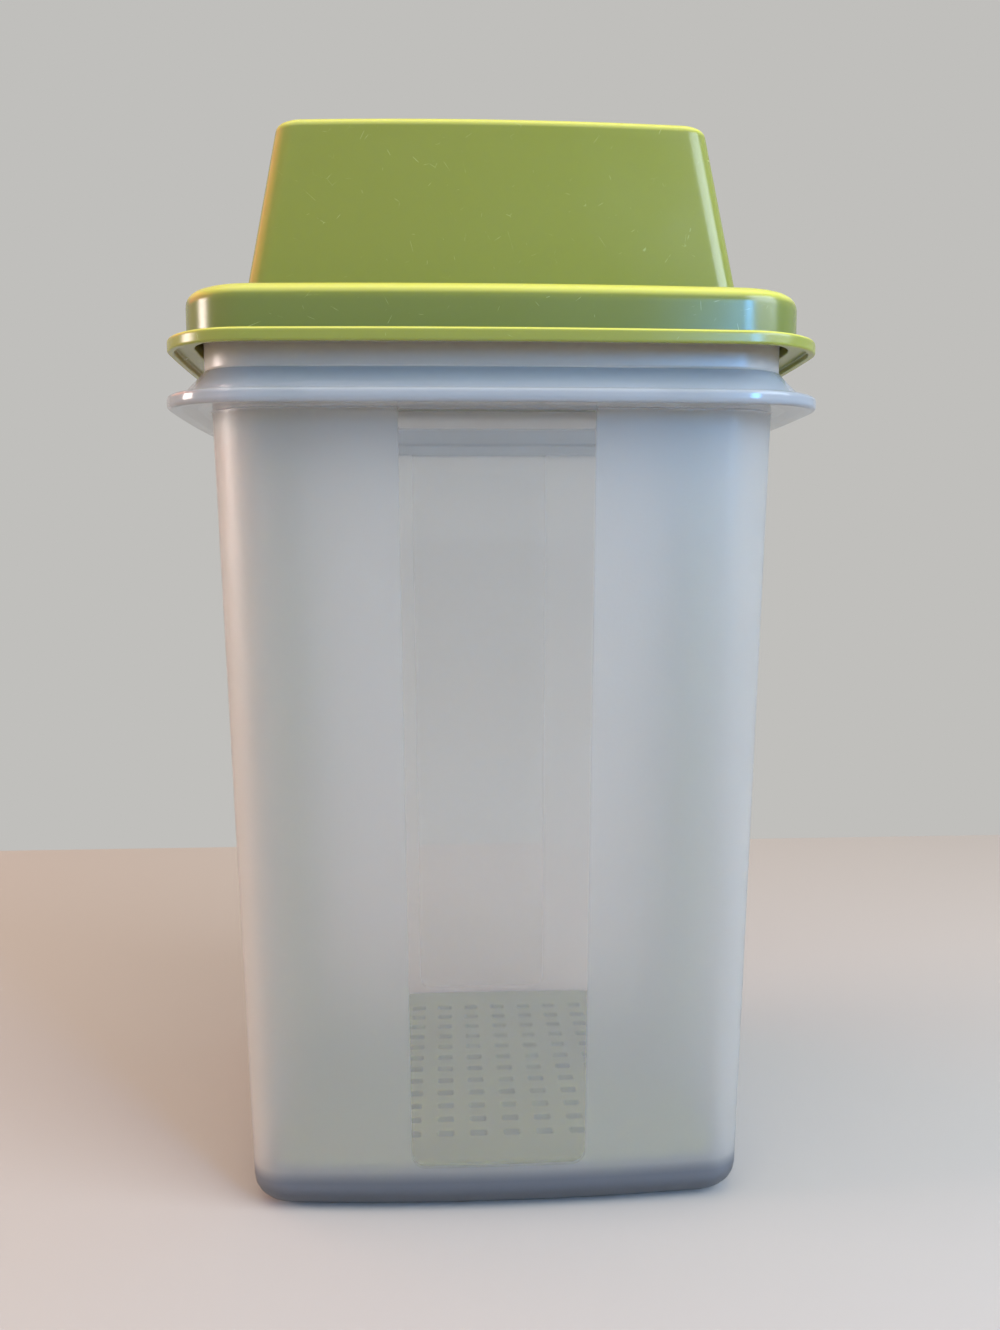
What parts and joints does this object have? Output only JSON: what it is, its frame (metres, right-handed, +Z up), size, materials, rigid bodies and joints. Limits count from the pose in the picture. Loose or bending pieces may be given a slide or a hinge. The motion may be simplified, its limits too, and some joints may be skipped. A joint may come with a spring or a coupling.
{
  "type": "pickle keeper",
  "caption": "Tall squarish translucent food keeper with a flanged neck, a lid with a high hollow hump, and a slotted strainer that lifts out by its inner handle.",
  "frame": {"origin": "middle of the footprint, on the resting face under the container", "axes": "+Z up, +X across the wide side, -Y towards the viewer of the clear front strip"},
  "size_m": [0.1594, 0.151, 0.2694],
  "materials": {
    "container": "frosted translucent polypropylene, polished in a strip down the front and back",
    "strainer": "satin moulded polypropylene",
    "lid": "satin to semi-gloss moulded polypropylene with fine scuffs"
  },
  "bodies": {
    "container": {"container": "container"},
    "strainer": {"strainer_tray": "strainer", "lift_handle": "strainer"},
    "lid": {"lid": "lid"}
  },
  "joints": [
    {"name": "strainer_lift", "type": "slide", "parent": "container", "child": "strainer", "axis": [0, 0, 1], "range_m": [0, 0.24]},
    {"name": "lid_lift", "type": "slide", "parent": "strainer", "child": "lid", "axis": [0, 0, 1], "range_m": [0, 0.08]}
  ]
}
